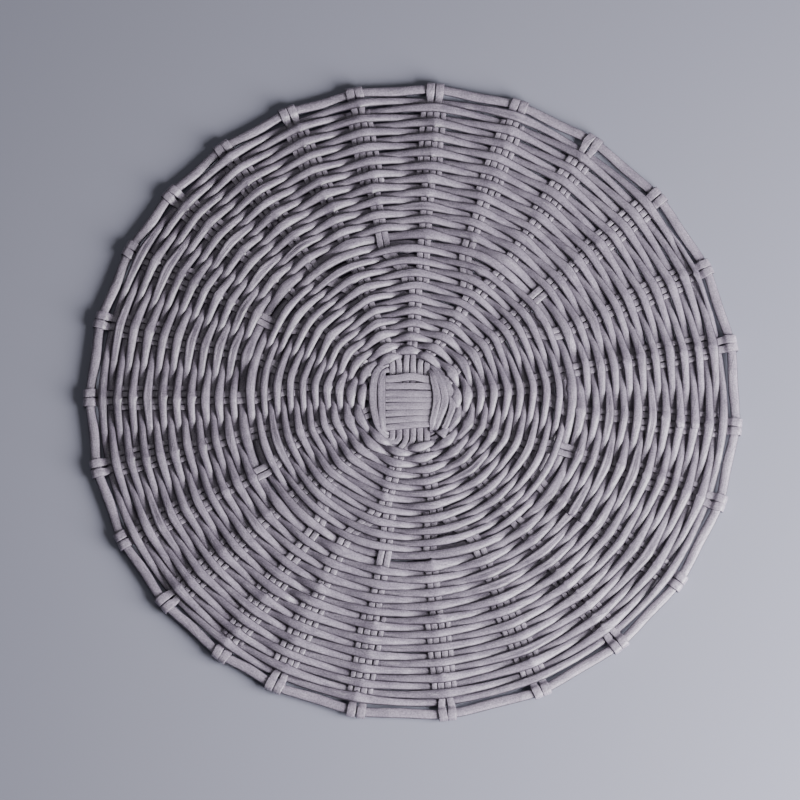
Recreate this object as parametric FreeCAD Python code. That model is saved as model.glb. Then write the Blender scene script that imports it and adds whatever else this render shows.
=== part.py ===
"""Round flat seat mat, hand woven from flattened rolled paper tubes, in millimetres.

The mat lies on z = 0 with its centre on the Z axis. Bearings are degrees clockwise
from +Y, seen from above. A cross of stakes spreads into groups, one weaver runs
outwards anticlockwise over and under the groups, and the stake ends loop round a rim.
"""
import FreeCAD
import Part

import math
import os
from collections import namedtuple

V = FreeCAD.Vector

# ---- driving dimensions --------------------------------------------------------------
MAT_DIAMETER = 380.0      # over the loops on the rim
WEAVER_THICK = 2.0        # a tube pressed flat, as it lies over or under a group
STAKE_THICK = 2.0
LAYER_GAP = 0.1           # between a stake and the weaver that passes it
WEAVER_WIDE_INNER = 5.0   # width of a float in the 13 group zone
WEAVER_WIDE_OUTER = 5.4   # and in the 25 group zone
ROW_GAP = 0.25            # between neighbouring rows where they cross
FLOAT_MARGIN = 0.4        # how far a float stays level past the last stake of its group
BUTT_GAP = 0.1            # between two lengths of weaver that meet end to end

STRIP_PITCH = 4.0         # strips of the centre cross, centre to centre
STRIP_GAP = 0.2
STAKE_WIDE_START = 2.9    # pressed together where the first rows pass between the groups
STAKE_WIDE = 3.8
LATE_STAKE_WIDE = 3.2     # the two thin stakes that join each outer group later
STAKE_GAP = 0.25          # between the stakes of one group
CROSS_CENTRE = (-2.0, -2.0)

BINDER_WIDE = 4.6
BINDER_CORNER_WIDE = 2.2  # turned nearly on edge at the corners of the cross
BINDER_GAP = 0.2

CROSS_TO_WEAVE = 3.3      # from the binder to the middle of the first row
ARM_START = 1.1           # from there to where a stake lies in its group
SPLIT_START = 68.0        # where the first side stakes join and the groups open out
SPLIT_END = 93.0          # where each group has become two
INNER_LAST = 95.2         # radius that the inner spiral has reached after its turns
OUTER_FIRST = 97.0        # radius of the first row of the outer spiral
LATE_START = 130.0        # where the thin stakes join
INNER_ROW = 3.72          # each zone has the whole turns that come nearest to this pitch
OUTER_ROW = 4.09
OUTER_EXTRA_FLOATS = 3    # the weaver runs on past its last full turn before it is tucked in
INNER_LENGTHS = 9         # tubes are glued end to end; each node is one such length
OUTER_LENGTHS = 10

RIM_WIDE = 5.4            # the thick strand that the loops hold
RIM_TALL = 2.8
RIM_ROUND = 1.2           # cut back along its long edges
RIM_DRAWN_IN = 1.1        # nearly straight from loop to loop
LOOP_THICK = 1.1
LOOP_WIDE = 5.2
LOOP_GAP = 0.1
ROW_TO_RIM = 1.4          # free width between the last row and the rim strand
LAST_STEP = 0.16          # share of the last turn in which it moves out against the rim
LAST_SPREAD = 8.0         # turns over which the rows before it spread to follow

INNER_BEARINGS = (1.3, 28.8, 53.8, 85.0, 115.0, 141.9, 168.75,
                  194.4, 226.6, 252.5, 277.5, 306.9, 335.0)
ODD_INNER = 5             # the group that stays whole, so that the rows alternate
OUTER_BEARINGS = (4.0, 19.4, 34.3, 49.8, 65.5, 80.0, 95.3, 109.5, 125.5, 141.0, 157.0, 174.0,
                  190.0, 205.0, 216.0, 229.5, 243.2, 257.0, 270.0, 284.4, 298.3, 311.0, 323.5,
                  337.0, 349.5)
ODD_OUTER = 9
START_PULL = {8: -9.6, 1: -6.8, 11: -3.9, 12: -1.0, 0: -3.3, 2: 1.2, 3: -1.0, 4: -3.0, 5: -2.9,
              6: -0.8, 7: -2.4, 9: -2.5, 10: -1.5}
PULL_FADE = 9.0           # how quickly a group leaves its pulled bearing, radially
# where hand tension has drawn the rows in or let them out: bearing, height, spread
ROW_SWAY = ((60.0, -1.3, 26.0), (172.0, -2.0, 18.0), (233.0, 2.1, 22.0))

# ---- worked out ----------------------------------------------------------------------
MAT_RADIUS = MAT_DIAMETER / 2
MAT_TALL = 2 * WEAVER_THICK + STAKE_THICK + 2 * LAYER_GAP
MID = MAT_TALL / 2
FLOAT_Z = STAKE_THICK / 2 + LAYER_GAP + WEAVER_THICK / 2
STRIP_WIDE = STRIP_PITCH - STRIP_GAP
CROSS_HALF_X = 3 * STRIP_PITCH
CROSS_HALF_Y = 4 * STRIP_PITCH
WEAVE_START = CROSS_HALF_Y + 2 * (BINDER_WIDE + BINDER_GAP) + CROSS_TO_WEAVE
RIM_OUT = MAT_RADIUS - LOOP_THICK - LOOP_GAP
RIM_IN = RIM_OUT - RIM_WIDE
ROW_LAST = RIM_IN - ROW_TO_RIM - WEAVER_WIDE_OUTER / 2
INNER_TURNS = round((INNER_LAST - WEAVE_START) / INNER_ROW)
OUTER_TURNS = round((ROW_LAST - OUTER_FIRST) / OUTER_ROW)
INNER_PITCH = (INNER_LAST - WEAVE_START) / INNER_TURNS
OUTER_PITCH = (ROW_LAST - OUTER_FIRST) / (OUTER_TURNS + OUTER_EXTRA_FLOATS / len(OUTER_BEARINGS))
NARROWING = 0.72          # share of the narrowing reached where two rows leave each other's level

Station = namedtuple("Station", "point heading up wide thick")
UP = V(0, 0, 1)


def smooth(value, low, high):
    """Ease from 0 at low to 1 at high."""
    t = min(max((value - low) / (high - low), 0.0), 1.0)
    return t * t * (3 - 2 * t)


def turned(angle_deg):
    """Bring an angle into -180..180."""
    return (angle_deg + 180.0) % 360.0 - 180.0


def at(bearing, radius, z=0.0):
    """A point by bearing and radius, with z measured from the middle of the mat."""
    a = math.radians(bearing)
    return V(radius * math.sin(a), radius * math.cos(a), MID + z)


def outward(bearing):
    a = math.radians(bearing)
    return V(math.sin(a), math.cos(a), 0)


def onward(bearing):
    """The way the weaver runs: anticlockwise."""
    a = math.radians(bearing)
    return V(-math.cos(a), math.sin(a), 0)


def station(point, heading, wide, thick, up=UP):
    return Station(point, V(heading).normalize(), up, wide, thick)


# ---- bands of flattened tube ---------------------------------------------------------
def corners(s):
    across = V(s.heading).cross(s.up)
    across.normalize()
    a, u = across * (s.wide / 2), V(s.up) * (s.thick / 2)
    return [s.point - a - u, s.point + a - u, s.point + a + u, s.point - a + u]


def is_straight(one, two):
    run = two.point - one.point
    run.normalize()
    same = one.heading.dot(run) > 0.9999999 and two.heading.dot(run) > 0.9999999
    return same and one.up.dot(two.up) > 0.9999999


def rail(p, q, one, two):
    """Poles of the edge between two matching corners, leaving along each station's heading."""
    turn = math.acos(max(-1.0, min(1.0, one.heading.dot(two.heading))))
    reach = p.distanceToPoint(q) / (3 * math.cos(turn / 4) ** 2)
    return [p, p + V(one.heading) * reach, q - V(two.heading) * reach, q]


def side_faces(one, two):
    """The four long faces between two stations."""
    here, there = corners(one), corners(two)
    faces = []
    straight = is_straight(one, two)
    rails = [rail(here[i], there[i], one, two) for i in range(4)]
    for i in range(4):
        j = (i + 1) % 4
        if straight:
            outline = Part.makePolygon([here[i], here[j], there[j], there[i], here[i]])
            faces.append(Part.Face(outline))
            continue
        surface = Part.BSplineSurface()
        surface.buildFromPolesMultsKnots([rails[i], rails[j]], [2, 2], [4, 4], [0, 1], [0, 1],
                                         False, False, 1, 3)
        faces.append(surface.toShape())
    return faces


def cap(s):
    c = corners(s)
    return Part.Face(Part.makePolygon(c + [c[0]]))


def band(stations):
    """A closed solid of flattened tube through the stations."""
    faces = [cap(stations[0]), cap(stations[-1])]
    for one, two in zip(stations, stations[1:]):
        faces += side_faces(one, two)
    shell = Part.makeShell(faces)
    shell.sewShape()
    solid = Part.makeSolid(shell)
    if solid.Volume < 0:
        solid.reverse()
    return solid


# ---- where each stake runs -----------------------------------------------------------
def group_bearing(group, radius):
    """Bearing of an inner group, pulled towards the cross where it leaves it."""
    pull = START_PULL[group] * math.exp(-max(radius - WEAVE_START, 0.0) / PULL_FADE)
    return INNER_BEARINGS[group] + pull


def outer_pair(group):
    """The two outer groups that an inner group opens into, lower bearing first."""
    if group == ODD_INNER:
        return ODD_OUTER, ODD_OUTER
    others = [g for g in range(len(OUTER_BEARINGS)) if g != ODD_OUTER]
    whole = [g for g in range(len(INNER_BEARINGS)) if g != ODD_INNER]
    first = 2 * whole.index(group) - 1
    return others[first % len(others)], others[(first + 1) % len(others)]


def stake_wide(radius):
    return STAKE_WIDE_START + (STAKE_WIDE - STAKE_WIDE_START) * smooth(radius, 32.0, 48.0)


def lane(radius, count_from_middle):
    """Offset of a stake's middle from its group's middle, for lanes -1.5, -0.5, 0.5, 1.5."""
    return count_from_middle * (stake_wide(radius) + STAKE_GAP)


def inner_stake_bearing(group, side, radius, added=False):
    """Bearing of one stake of an inner group. side is -1 or +1; added ones lie outside it."""
    target = OUTER_BEARINGS[outer_pair(group)[0 if side < 0 else 1]]
    first_lane = side * (1.5 if added else 0.5)
    last_lane = (side if added else -side) * 0.5
    if group == ODD_INNER:
        last_lane = first_lane
    start = group_bearing(group, radius) + math.degrees(lane(radius, first_lane) / radius)
    end = target + math.degrees(lane(radius, last_lane) / radius)
    return start + turned(end - start) * smooth(radius, SPLIT_START, SPLIT_END)


def late_lane(radius):
    """Offset of the thin stakes that join an outer group."""
    return lane(radius, 1) + (LATE_STAKE_WIDE + STAKE_GAP) / 2


def group_span(zone, group, radius):
    """(bearing of the middle, half width in mm) of everything in a group at a radius."""
    if zone == "outer":
        half = lane(radius, 1)
        if radius > LATE_START - WEAVER_WIDE_OUTER:
            half = late_lane(radius) + LATE_STAKE_WIDE / 2
        return OUTER_BEARINGS[group], half
    added = radius > SPLIT_START - WEAVER_WIDE_INNER and group != ODD_INNER
    low = inner_stake_bearing(group, -1, radius, added)
    high = inner_stake_bearing(group, 1, radius, added)
    middle = low + turned(high - low) / 2
    half = math.radians(turned(high - low) / 2) * radius + stake_wide(radius) / 2
    return middle, half


def radial_stations(bearing_at, radii, wide_at, thick):
    """Stations out along a path given as bearing by radius."""
    stations = []
    for r in radii:
        step = 0.5
        ahead, behind = at(bearing_at(r + step), r + step), at(bearing_at(r - step), r - step)
        stations.append(station(at(bearing_at(r), r), ahead - behind, wide_at(r), thick))
    return stations


def loop_stations(bearing, offset):
    """From the flat stake over the rim strand, round its outside and back under it."""
    out, side = outward(bearing), onward(bearing) * -1.0
    base = V(0, 0, MID) + side * offset
    lift = RIM_TALL / 2 + LOOP_GAP + LOOP_THICK / 2
    bend_r = MAT_RADIUS - LOOP_THICK / 2 - lift
    foot_r = ROW_LAST + WEAVER_WIDE_OUTER / 2
    rise = V(out * 0.75 + UP * 0.66).normalize()
    rise_up = V(UP * 0.75 - out * 0.66).normalize()
    return [
        station(base + out * (foot_r - 0.6), out, LOOP_WIDE, STAKE_THICK * 0.7),
        station(base + out * (foot_r + 1.15) + UP * (lift * 0.5), rise, LOOP_WIDE, LOOP_THICK,
                rise_up),
        station(base + out * (RIM_IN + 1.2) + UP * lift, out, LOOP_WIDE, LOOP_THICK),
        station(base + out * bend_r + UP * lift, out, LOOP_WIDE, LOOP_THICK),
        station(base + out * (bend_r + lift), UP * -1, LOOP_WIDE, LOOP_THICK, out),
        station(base + out * bend_r - UP * lift, out * -1, LOOP_WIDE, LOOP_THICK, UP * -1),
        station(base + out * RIM_IN - UP * lift, out * -1, LOOP_WIDE, LOOP_THICK, UP * -1),
    ]


def outer_run(target, side):
    """The straight run of a main stake through the outer zone, and its loop."""
    bearing = OUTER_BEARINGS[target]
    out, right = outward(bearing), onward(bearing) * -1.0
    near, far = SPLIT_END + 4.0, ROW_LAST - 4.0
    offset, loop_offset = lane(near, side * 0.5), side * (LOOP_WIDE + STAKE_GAP) / 2
    base = V(0, 0, MID) + right * offset
    run = [station(base + out * near, out, STAKE_WIDE, STAKE_THICK),
           station(base + out * far, out, STAKE_WIDE, STAKE_THICK)]
    return run + loop_stations(bearing, loop_offset)


def arm(group, side, start_radius=WEAVE_START + ARM_START):
    """A main stake from the first row to its loop, inside out."""
    radii = [start_radius, 34.0, 40.0, 48.0, 58.0, SPLIT_START - 2, 74.0, 80.5, 87.0, SPLIT_END]
    stations = radial_stations(lambda r: inner_stake_bearing(group, side, r), radii,
                               stake_wide, STAKE_THICK)
    target = outer_pair(group)[0 if side < 0 else 1]
    last_side = side if group == ODD_INNER else -side
    return stations + outer_run(target, last_side)


def reversed_stations(stations):
    return [station(s.point, s.heading * -1, s.wide, s.thick, s.up) for s in reversed(stations)]


CROSS_Z = (STAKE_THICK + LAYER_GAP) / 2
TOP_ARM, RIGHT_ARM, BOTTOM_ARM, LEFT_ARM = (12, 0, 1), (2, 3, 4), (8, 7, 6), (11, 10, 9)


def cross_run(start, end, level):
    """The flat crossing of one strip, entering and leaving at the middle level."""
    way = V(end - start).normalize()
    ease = way * 6.0
    lift = UP * (CROSS_Z * level)
    return [station(start - ease, way, STRIP_WIDE, STAKE_THICK),
            station(start + lift, way, STRIP_WIDE, STAKE_THICK),
            station(end + lift, way, STRIP_WIDE, STAKE_THICK),
            station(end + ease, way, STRIP_WIDE, STAKE_THICK)]


def down_stake(number):
    """A stake through the cross from the top arm to the bottom arm, numbered from the left."""
    x = CROSS_CENTRE[0] + (number - 2.5) * STRIP_PITCH
    y = CROSS_CENTRE[1]
    top = arm(TOP_ARM[number // 2], -1 if number % 2 == 0 else 1)
    bottom = arm(BOTTOM_ARM[number // 2], 1 if number % 2 == 0 else -1)
    middle = cross_run(V(x, y + CROSS_HALF_Y, MID), V(x, y - CROSS_HALF_Y, MID), -1)
    return band(reversed_stations(top) + middle + bottom)


def across_stake(number):
    """A stake over the cross from the left arm to the right arm, numbered from the top."""
    y = CROSS_CENTRE[1] + (3.5 - number) * STRIP_PITCH
    x = CROSS_CENTRE[0]
    left = arm(LEFT_ARM[number // 2], 1 if number % 2 == 0 else -1)
    right = arm(RIGHT_ARM[number // 2], -1 if number % 2 == 0 else 1)
    middle = cross_run(V(x - CROSS_HALF_X, y, MID), V(x + CROSS_HALF_X, y, MID), 1)
    return band(reversed_stations(left) + middle + right)


def odd_stake(number):
    """A short stake held under the binder on the left, bent down into the odd group."""
    y = CROSS_CENTRE[1] + (3.5 - number) * STRIP_PITCH
    x = CROSS_CENTRE[0]
    right = arm(ODD_INNER, -1 if number % 2 == 0 else 1)
    middle = cross_run(V(x - CROSS_HALF_X, y, MID), V(x + CROSS_HALF_X, y, MID), 1)
    return band(middle + right)


def side_stakes(target):
    """The stakes added to one outer group: a main one, except in the odd group, and two thin."""
    solids = []
    bearing = OUTER_BEARINGS[target]
    for group in range(len(INNER_BEARINGS)):
        for side, goal in zip((-1, 1), outer_pair(group)):
            if goal != target or group == ODD_INNER:
                continue
            radii = [SPLIT_START, 74.0, 80.5, 87.0, SPLIT_END]
            stations = radial_stations(
                lambda r, g=group, s=side: inner_stake_bearing(g, s, r, True), radii,
                stake_wide, STAKE_THICK)
            solids.append(band(stations + outer_run(target, side)))
    out, right = outward(bearing), onward(bearing) * -1.0
    for side in (-1, 1):
        base = V(0, 0, MID) + right * (side * late_lane(LATE_START))
        ends = [station(base + out * r, out, LATE_STAKE_WIDE, STAKE_THICK)
                for r in (LATE_START, ROW_LAST - 4.0)]
        solids.append(band(ends))
    return Part.makeCompound(solids)


# ---- the weaver ----------------------------------------------------------------------
def drawn_out(turns):
    """How much further out a row lies than on an even spiral, as the last turn hugs the rim."""
    left = INNER_TURNS + OUTER_TURNS + OUTER_EXTRA_FLOATS / len(OUTER_BEARINGS) - turns
    part = left % 1.0
    moved = part - smooth(part, 1.0 - LAST_STEP, 1.0)
    return OUTER_PITCH * moved * max(1.0 - left / LAST_SPREAD, 0.0)


def row_radius(turns, bearing):
    """Radius of the spiral after so many turns, with the sway that hand tension left in it."""
    if turns < INNER_TURNS:
        base = WEAVE_START + INNER_PITCH * turns
    else:
        base = OUTER_FIRST + OUTER_PITCH * (turns - INNER_TURNS)
    across_zone = (base - OUTER_FIRST) / (ROW_LAST - OUTER_FIRST)
    share = math.sin(math.pi * min(max(across_zone, 0.0), 1.0))
    sway = sum(high * math.exp(-(turned(bearing - b) / spread) ** 2)
               for b, high, spread in ROW_SWAY)
    return base + sway * share + drawn_out(turns)


def row_centre(radius):
    """The first rows lie about the cross and the later ones about the mat."""
    share = math.exp(-(radius - WEAVE_START) / 15.0)
    return V(CROSS_CENTRE[0] * share, CROSS_CENTRE[1] * share, 0)


def passes():
    """Every place where the weaver passes a group: (zone, group, turns, over)."""
    found = []
    count = 0
    inner, outer = len(INNER_BEARINGS), len(OUTER_BEARINGS)
    for turn in range(INNER_TURNS):
        for step in range(inner):
            group = (ODD_INNER - step) % inner
            back = (INNER_BEARINGS[ODD_INNER] - INNER_BEARINGS[group]) % 360.0
            found.append(("inner", group, turn + back / 360.0, count % 2 == 1))
            count += 1
    total = OUTER_TURNS * outer + OUTER_EXTRA_FLOATS + 1
    for number in range(total):
        group = (ODD_OUTER - number) % outer
        back = (OUTER_BEARINGS[ODD_OUTER] - OUTER_BEARINGS[group]) % 360.0
        turns = INNER_TURNS + number // outer + back / 360.0
        found.append(("outer", group, turns, count % 2 == 1))
        count += 1
    return found


def float_ends(zone, group, turns, over):
    """The two stations that bound the level run over or under a group."""
    radius = row_radius(turns, (INNER_BEARINGS if zone == "inner" else OUTER_BEARINGS)[group])
    bearing, half = group_span(zone, group, radius)
    wide = WEAVER_WIDE_INNER if zone == "inner" else WEAVER_WIDE_OUTER
    middle = at(bearing, radius, FLOAT_Z if over else -FLOAT_Z) + row_centre(radius)
    way = onward(bearing)
    reach = way * (half + FLOAT_MARGIN)
    return (station(middle - reach, way, wide, WEAVER_THICK),
            station(middle + reach, way, wide, WEAVER_THICK))


def crossing(one, two, zone):
    """The narrow middle of the weaver's way from one level to the other."""
    pitch = INNER_PITCH if zone == "inner" else OUTER_PITCH
    wide = WEAVER_WIDE_INNER if zone == "inner" else WEAVER_WIDE_OUTER
    narrow = wide - (wide - (pitch - ROW_GAP)) / NARROWING
    # the middle of the cubic that leaves and arrives along the two floats
    poles = rail(one.point, two.point, one, two)
    point = (poles[0] + poles[1] * 3 + poles[2] * 3 + poles[3]) * 0.125
    heading = poles[3] + poles[2] - poles[1] - poles[0]
    return station(point, heading, narrow, WEAVER_THICK)


def weaver_length(places, first, last):
    """One length of weaver, from pass number first to pass number last."""
    stations = []
    for number in range(first, last):
        zone, group, turns, over = places[number]
        start, end = float_ends(zone, group, turns, over)
        if stations:
            stations.append(crossing(stations[-1], start, zone))
            stations.append(start)
        else:
            middle = (start.point + end.point) * 0.5
            stations.append(station(middle + start.heading * (BUTT_GAP / 2), start.heading,
                                    start.wide, start.thick))
        stations.append(end)
    if last < len(places):
        zone, group, turns, over = places[last]
        start, end = float_ends(zone, group, turns, over)
        middle = (start.point + end.point) * 0.5
        stations.append(crossing(stations[-1], start, zone))
        stations.append(start)
        stations.append(station(middle - start.heading * (BUTT_GAP / 2), start.heading,
                                start.wide, start.thick))
    return band(stations)


# ---- the binder and the rim ----------------------------------------------------------
def binder():
    """Two turns about the cross: over the left and right arms, under the top and bottom ones."""
    centre = V(CROSS_CENTRE[0], CROSS_CENTRE[1], MID)
    step = BINDER_WIDE + BINDER_GAP
    stations = []
    for turn in range(2):
        side_x = CROSS_HALF_X + BINDER_WIDE / 2 + 1.3 + turn * step
        side_y = CROSS_HALF_Y + BINDER_WIDE / 2 + 0.3 + turn * step
        corner = V(CROSS_HALF_X + 1.6 + turn * 1.9, CROSS_HALF_Y + 1.2 + turn * 1.9, 0)
        reach_x, reach_y = CROSS_HALF_X - 1.5, CROSS_HALF_Y - 3.0
        level = UP * FLOAT_Z
        quarter = (
            (V(side_x, -reach_y, 0), V(side_x, reach_y, 0), V(0, 1, 0), 1),
            (V(reach_x, side_y, 0), V(-reach_x, side_y, 0), V(-1, 0, 0), -1),
            (V(-side_x, reach_y, 0), V(-side_x, -reach_y, 0), V(0, -1, 0), 1),
            (V(-reach_x, -side_y, 0), V(reach_x, -side_y, 0), V(1, 0, 0), -1),
        )
        corner_signs = ((1, 1), (-1, 1), (-1, -1), (1, -1))
        for (start, end, way, sign), (sx, sy) in zip(quarter, corner_signs):
            turn_way = V(-sy * 0.75, sx * 0.66, -sign * 0.7)
            stations.append(station(centre + start + level * sign, way, BINDER_WIDE, WEAVER_THICK))
            stations.append(station(centre + end + level * sign, way, BINDER_WIDE, WEAVER_THICK))
            stations.append(station(centre + V(corner.x * sx, corner.y * sy, 0), turn_way,
                                    BINDER_CORNER_WIDE, WEAVER_THICK))
    return band(stations[:-1])


def rim_corners(s):
    """The eight corners of the rim strand's section, its long edges cut back."""
    across = V(s.heading).cross(s.up)
    across.normalize()
    a, u = s.wide / 2, s.thick / 2
    cut = min(RIM_ROUND, 0.86 * u)
    b, v = a - cut, u - cut
    outline = ((-b, -u), (b, -u), (a, -v), (a, v), (b, u), (-b, u), (-a, v), (-a, -v))
    return [s.point + across * x + V(s.up) * z for x, z in outline]


def rim_strand():
    """The thick strand round the mat that the loops hold, drawn in a little between them."""
    stations = []
    count = len(OUTER_BEARINGS)
    for number in range(count):
        here = OUTER_BEARINGS[-1 - number]
        after = OUTER_BEARINGS[(-2 - number) % count]
        halfway = here - ((here - after) % 360.0) / 2
        for bearing, drawn_in in ((here, 0.0), (halfway, RIM_DRAWN_IN)):
            middle = at(bearing, (RIM_IN + RIM_OUT) / 2 - drawn_in)
            stations.append(station(middle, onward(bearing), RIM_WIDE, RIM_TALL))
    faces = []
    for one, two in zip(stations, stations[1:] + stations[:1]):
        here, there = rim_corners(one), rim_corners(two)
        rails = [rail(p, q, one, two) for p, q in zip(here, there)]
        for first, second in zip(rails, rails[1:] + rails[:1]):
            surface = Part.BSplineSurface()
            surface.buildFromPolesMultsKnots([first, second], [2, 2], [4, 4], [0, 1], [0, 1],
                                             False, False, 1, 3)
            faces.append(surface.toShape())
    shell = Part.makeShell(faces)
    shell.sewShape()
    solid = Part.makeSolid(shell)
    if solid.Volume < 0:
        solid.reverse()
    return solid


# ---- all of it -----------------------------------------------------------------------
def shares(total, parts):
    return [round(total * n / parts) for n in range(parts + 1)]


def build():
    pieces = {}
    for number in range(6):
        pieces["down_stake_%d" % (number + 1)] = down_stake(number)
    for number in range(6):
        pieces["across_stake_%d" % (number + 1)] = across_stake(number)
    for number in range(2):
        pieces["odd_stake_%d" % (number + 1)] = odd_stake(6 + number)
    for target in range(len(OUTER_BEARINGS)):
        pieces["side_stakes_%02d" % (target + 1)] = side_stakes(target)
    places = passes()
    inner_total = INNER_TURNS * len(INNER_BEARINGS)
    cuts = shares(inner_total, INNER_LENGTHS)
    for number, (first, last) in enumerate(zip(cuts, cuts[1:])):
        pieces["inner_weaver_%d" % (number + 1)] = weaver_length(places, first, last)
    cuts = [inner_total + c for c in shares(len(places) - inner_total, OUTER_LENGTHS)]
    for number, (first, last) in enumerate(zip(cuts, cuts[1:])):
        pieces["outer_weaver_%02d" % (number + 1)] = weaver_length(places, first, last)
    pieces["centre_binder"] = binder()
    pieces["rim_strand"] = rim_strand()
    return pieces


def main():
    os.makedirs("parts", exist_ok=True)
    for name, shape in build().items():
        shape.exportStep(os.path.join("parts", name + ".step"))
        print(name, "valid" if shape.isValid() else "NOT VALID", round(shape.Volume, 1))


main()
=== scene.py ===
"""Looks of a round seat mat, hand woven from painted paper tubes pressed flat.

Sizes are in millimetres, measured about the centre of the mat, and become metres where a
mesh is made. Bearings are degrees clockwise from +Y, seen from above. The weaver runs
outwards anticlockwise, over and under the groups of stakes.
"""
from __future__ import annotations

import logging
import math
import random
from dataclasses import dataclass, field, replace
from enum import Enum

import bmesh
import bpy
from mathutils import Matrix, Vector

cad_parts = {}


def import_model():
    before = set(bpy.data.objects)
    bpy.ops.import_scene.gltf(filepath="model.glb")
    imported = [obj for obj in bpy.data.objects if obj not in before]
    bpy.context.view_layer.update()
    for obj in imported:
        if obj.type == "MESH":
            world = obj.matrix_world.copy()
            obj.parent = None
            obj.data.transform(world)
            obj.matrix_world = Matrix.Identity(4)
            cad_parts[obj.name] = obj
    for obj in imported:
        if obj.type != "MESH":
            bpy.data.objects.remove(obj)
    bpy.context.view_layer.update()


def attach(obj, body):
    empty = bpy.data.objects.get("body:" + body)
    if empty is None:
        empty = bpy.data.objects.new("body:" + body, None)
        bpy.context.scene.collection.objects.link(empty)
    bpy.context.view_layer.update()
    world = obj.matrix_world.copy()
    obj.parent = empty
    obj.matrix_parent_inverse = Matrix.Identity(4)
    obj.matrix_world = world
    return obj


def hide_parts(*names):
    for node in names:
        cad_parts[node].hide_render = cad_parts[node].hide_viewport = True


LOG = logging.getLogger("seat_mat")
MM = 0.001
UP = Vector((0.0, 0.0, 1.0))
BODY = "root"
Colour = tuple[float, float, float]
BLACK: Colour = (0.0, 0.0, 0.0)
WHITE: Colour = (1.0, 1.0, 1.0)


class Zone(Enum):
    """The two parts of the weave, by how many groups of stakes they have."""

    INNER = "inner"
    OUTER = "outer"


class Fold(Enum):
    """How the weaver's tube takes the bend over a group."""

    ROUND = "rounded over"
    EARED = "folded across, with an ear on the inner edge"
    CREASED = "pressed along its length"
    DOUBLED = "pressed so deep that it looks like two tubes"


def ease(value: float, low: float, high: float) -> float:
    """Ease from 0 to 1.

    Args:
        value: The number that runs from low to high.
        low: Where the result leaves 0.
        high: Where the result reaches 1.

    Returns:
        A number from 0 to 1.
    """
    t = min(max((value - low) / (high - low), 0.0), 1.0)
    return t * t * (3 - 2 * t)


def turned(angle: float) -> float:
    """Bring an angle in degrees into -180 to 180."""
    return (angle + 180.0) % 360.0 - 180.0


def outward(bearing: float) -> Vector:
    """The flat direction away from the centre at a bearing."""
    a = math.radians(bearing)
    return Vector((math.sin(a), math.cos(a), 0.0))


def onward(bearing: float) -> Vector:
    """The way the weaver runs at a bearing, anticlockwise."""
    a = math.radians(bearing)
    return Vector((-math.cos(a), math.sin(a), 0.0))


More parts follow.
